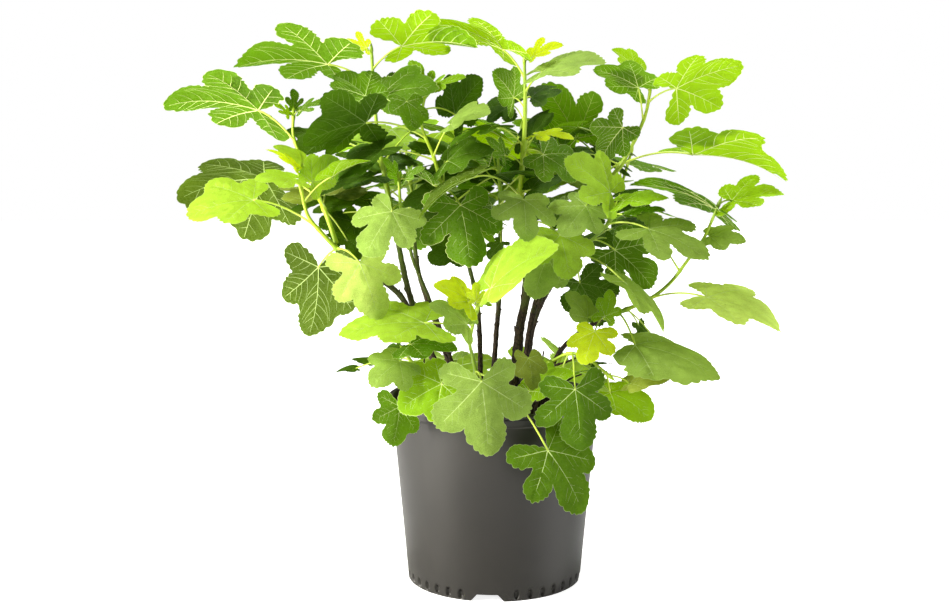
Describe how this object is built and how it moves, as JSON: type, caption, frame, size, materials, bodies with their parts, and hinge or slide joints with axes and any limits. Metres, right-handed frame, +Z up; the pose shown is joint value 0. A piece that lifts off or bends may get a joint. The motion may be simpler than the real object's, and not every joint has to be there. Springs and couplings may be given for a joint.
{
  "type": "potted fig tree",
  "caption": "Bushy young fig tree in a round nursery pot: woody stems fan out from the soil into masses of lobed leaves.",
  "frame": {"origin": "middle of the pot's flat underside, on the level it stands on", "axes": "+Z up, the pot's turned axis; the front of the plant faces -Y and +X is to its right as seen from the front"},
  "size_m": [0.7914, 0.526, 0.7317],
  "materials": {
    "pot": "soft satin moulded plastic, dark grey brown",
    "soil": "damp crumbly potting mix of composted bark with pale granules",
    "bark": "smooth dark brown young bark with leaf scars",
    "foliage": "soft matt leaf, pale green veins, brighter where light comes through"
  },
  "bodies": {
    "root": {"pot": "pot", "soil": "soil", "stem_left_high": "bark", "stem_left": "bark", "stem_left_centre": "bark", "stem_centre_left": "bark", "stem_centre": "bark", "stem_centre_high": "bark", "stem_right_high": "bark", "stem_right_front": "bark", "stem_right": "bark", "stem_front": "bark", "stem_front_left": "bark", "stem_front_right": "bark", "stem_back_left": "bark", "stem_back": "bark", "stem_back_right": "bark", "stem_back_low_left": "bark", "stem_back_low_right": "bark", "foliage_left_high": "foliage", "foliage_left": "foliage", "foliage_left_outer": "foliage", "foliage_left_centre": "foliage", "foliage_centre_left": "foliage", "foliage_centre": "foliage", "foliage_centre_low": "foliage", "foliage_right_high": "foliage", "foliage_right_front": "foliage", "foliage_right": "foliage", "foliage_front": "foliage", "foliage_front_left": "foliage", "foliage_front_right": "foliage", "foliage_back_left": "foliage", "foliage_back": "foliage", "foliage_back_right": "foliage", "foliage_back_low_left": "foliage", "foliage_back_low_right": "foliage"}
  },
  "joints": []
}
